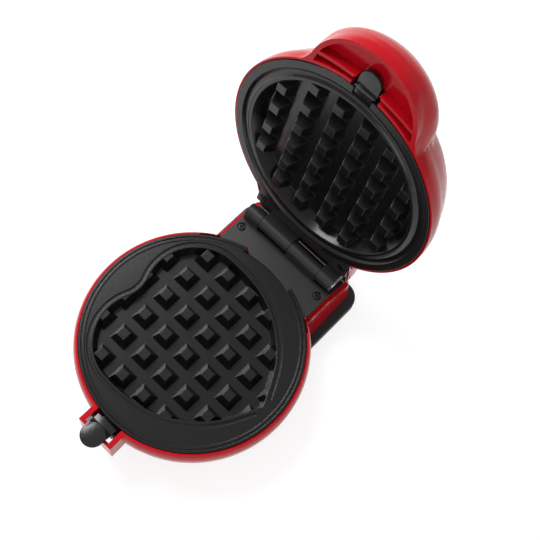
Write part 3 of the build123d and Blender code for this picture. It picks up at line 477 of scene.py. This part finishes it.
def skin(node, name, material, round_mm=0.0, reshape=None):
    """A node's own shape with its facets joined, its sharp edges broken and its curves shaded smooth."""
    source = frame["nodes"][node]
    form = bmesh.new()
    form.from_mesh(source.data)
    bmesh.ops.remove_doubles(form, verts=form.verts, dist=weld_mm * MM)
    if reshape:
        reshape(form)
    bmesh.ops.dissolve_limit(form, angle_limit=radians(flat_turn), verts=form.verts, edges=form.edges,
                             use_dissolve_boundaries=False)
    if round_mm:
        edges = [
            e for e in form.edges
            if len(e.link_faces) == 2 and e.calc_face_angle(0) > radians(sharp_turn)
        ]
        bmesh.ops.bevel(form, geom=edges, offset=round_mm * MM, offset_type="OFFSET", affect="EDGES",
                        segments=2, profile=0.5, material=-1, clamp_overlap=True)
    bmesh.ops.triangulate(form, faces=form.faces)
    mesh = bpy.data.meshes.new(name)
    form.to_mesh(mesh)
    form.free()
    smooth(mesh)
    piece = bpy.data.objects.new(name, mesh)
    bpy.context.scene.collection.objects.link(piece)
    mesh.materials.append(material)
    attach(piece, source["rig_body"])
    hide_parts(node)


skin("base_housing", "bowl_moulding", red, reshape=fuller_bowl)
skin("lid_shell", "lid_moulding", red, reshape=fuller_lid)
skin("rear_foot", "rear_foot_moulding", cover_black, reshape=narrower_foot)
skin("base_waffle_plate", "heart_plate_casting", coating)
skin("lid_waffle_plate", "round_plate_casting", coating)
skin("base_hinge_bracket", "base_bracket_moulding", nylon)
skin("lid_hinge_bracket", "lid_bracket_moulding", nylon)
skin("hinge_pin", "hinge_rod", bright_steel)
skin("base_hinge_screws", "base_bracket_screws", black_oxide)
skin("lid_hinge_screws", "lid_bracket_screws", black_oxide)
skin("base_release_tab", "base_thumb_tab", acetal, round_mm=0.3)
skin("lid_release_tab", "lid_thumb_tab", acetal, round_mm=0.3)
for node, name, material, slot in (
    ("base_release_pin", "base_tab_rod", bright_steel, "bright_steel"),
    ("lid_release_pin", "lid_tab_rod", bright_steel, "bright_steel"),
    ("base_release_spring", "base_tab_spring", bright_steel, "bright_steel"),
    ("lid_release_spring", "lid_tab_spring", bright_steel, "bright_steel"),
    ("base_heating_element", "base_heater_tube", sheath, "element_steel"),
    ("lid_heating_element", "lid_heater_tube", sheath, "element_steel"),
    ("base_heat_shield", "base_heater_pan", pan_sheet, "pan_aluminium"),
    ("lid_heat_shield", "lid_heater_pan", pan_sheet, "pan_aluminium"),
    ("base_shield_screws", "base_pan_screws", zinc, "zinc_steel"),
    ("lid_shield_screws", "lid_pan_screws", zinc, "zinc_steel"),
    ("base_thermostat", "thermostat_can", pan_sheet, "pan_aluminium"),
    ("thermal_fuse", "fuse_can", brass, "brass_can"),
    ("rear_foot_screws", "foot_screws", zinc, "zinc_steel"),
    ("bottom_cover", "underside_cover", cover_black, "cover_black"),
    ("bottom_cover_screws", "cover_screws", zinc, "zinc_steel"),
    ("rubber_feet", "rubber_pads", rubber, "foot_rubber"),
    ("terminal_block", "terminal_strip", cover_black, "cover_black"),
    ("cord_grommet", "cord_gland", rubber, "foot_rubber"),
    ("indicator_lens", "lamp_lens", amber, "amber_lens"),
    ("indicator_lamp", "neon_lamp", lamp_glass, "lamp_glass"),
):
    skin(node, name, material)


# Glow that the paper shows to the camera and in reflections
paper_glow = 0.76


def sweep_paper():
    """Matt paper that looks white and still keeps a soft shadow."""
    material, tree, shader, place = new_material("white_paper_sweep")
    set_shader(shader, Base_Color=srgb("#A6A6A6"), Roughness=0.8)
    path = add(tree, "ShaderNodeLightPath")
    seen = add(tree, "ShaderNodeMath", {"operation": "MAXIMUM"},
               {0: path.outputs["Is Camera Ray"], 1: path.outputs["Is Glossy Ray"]})
    lift = add(tree, "ShaderNodeMath", {"operation": "MULTIPLY", 1: paper_glow}, {0: seen.outputs[0]})
    glow = add(tree, "ShaderNodeEmission", links={"Strength": lift.outputs[0]})
    both = add(tree, "ShaderNodeAddShader", links={0: shader.outputs[0], 1: glow.outputs[0]})
    tree.links.new(both.outputs[0], tree.nodes["Material Output"].inputs["Surface"])
    return material


form = bmesh.new()
bmesh.ops.create_grid(form, x_segments=1, y_segments=1, size=3.0)
floor_mesh = bpy.data.meshes.new("paper_sweep")
form.to_mesh(floor_mesh)
form.free()
floor = bpy.data.objects.new("paper_sweep", floor_mesh)
bpy.context.scene.collection.objects.link(floor)
floor_mesh.materials.append(sweep_paper())

# White room to the camera, and an even, weaker light on the object
room_light = 0.45
room_seen = 1.0
world = bpy.data.worlds.new("white_studio")
bpy.context.scene.world = world
world.use_nodes = True
sky = world.node_tree.nodes["Background"]
sky.inputs["Color"].default_value = (1, 1, 1, 1)
looked_at = add(world.node_tree, "ShaderNodeLightPath").outputs["Is Camera Ray"]
level = add(world.node_tree, "ShaderNodeMapRange", {"To Min": room_light, "To Max": room_seen},
            {"Value": looked_at})
world.node_tree.links.new(level.outputs[0], sky.inputs["Strength"])


# What the softboxes are aimed at
middle = Vector((0, 0.03, 0.05))


def softbox(name, place, size, watts):
    light = bpy.data.lights.new(name, "AREA")
    light.shape = "SQUARE"
    light.size = size
    light.energy = watts
    lamp = bpy.data.objects.new(name, light)
    bpy.context.scene.collection.objects.link(lamp)
    lamp.location = place
    lamp.rotation_euler = (middle - Vector(place)).to_track_quat("-Z", "Y").to_euler()


softbox("key_softbox", (-0.75, 0.15, 0.95), 0.6, 13.0)
softbox("fill_softbox", (0.5, -0.9, 0.7), 0.8, 3.5)

# Camera: azimuth, elevation, roll and distance that were fitted to the appliance's outlines
camera_azimuth = radians(30.99)
camera_elevation = radians(68.75)
camera_roll = radians(13.63)
camera_distance = 0.5616
camera_target = base_face.translation + Vector((0.00133, 0.05714, 0))
sensor_width = 36.0
lens = 68.9
back = Vector((sin(camera_azimuth) * cos(camera_elevation), -cos(camera_azimuth) * cos(camera_elevation),
               sin(camera_elevation)))
right = (-back).cross(Vector((0, 0, 1))).normalized()
up = right.cross(-back)
rolled_right = right * cos(camera_roll) + up * sin(camera_roll)
rolled_up = up * cos(camera_roll) - right * sin(camera_roll)
camera = bpy.data.objects.new("camera", bpy.data.cameras.new("camera"))
bpy.context.scene.collection.objects.link(camera)
camera.data.sensor_width = sensor_width
camera.data.lens = lens
camera.data.clip_start = 0.01
camera.matrix_world = Matrix.Translation(camera_target + back * camera_distance) @ Matrix(
    (rolled_right, rolled_up, back)).transposed().to_4x4()
bpy.context.scene.camera = camera
bpy.context.scene.view_settings.view_transform = "Standard"
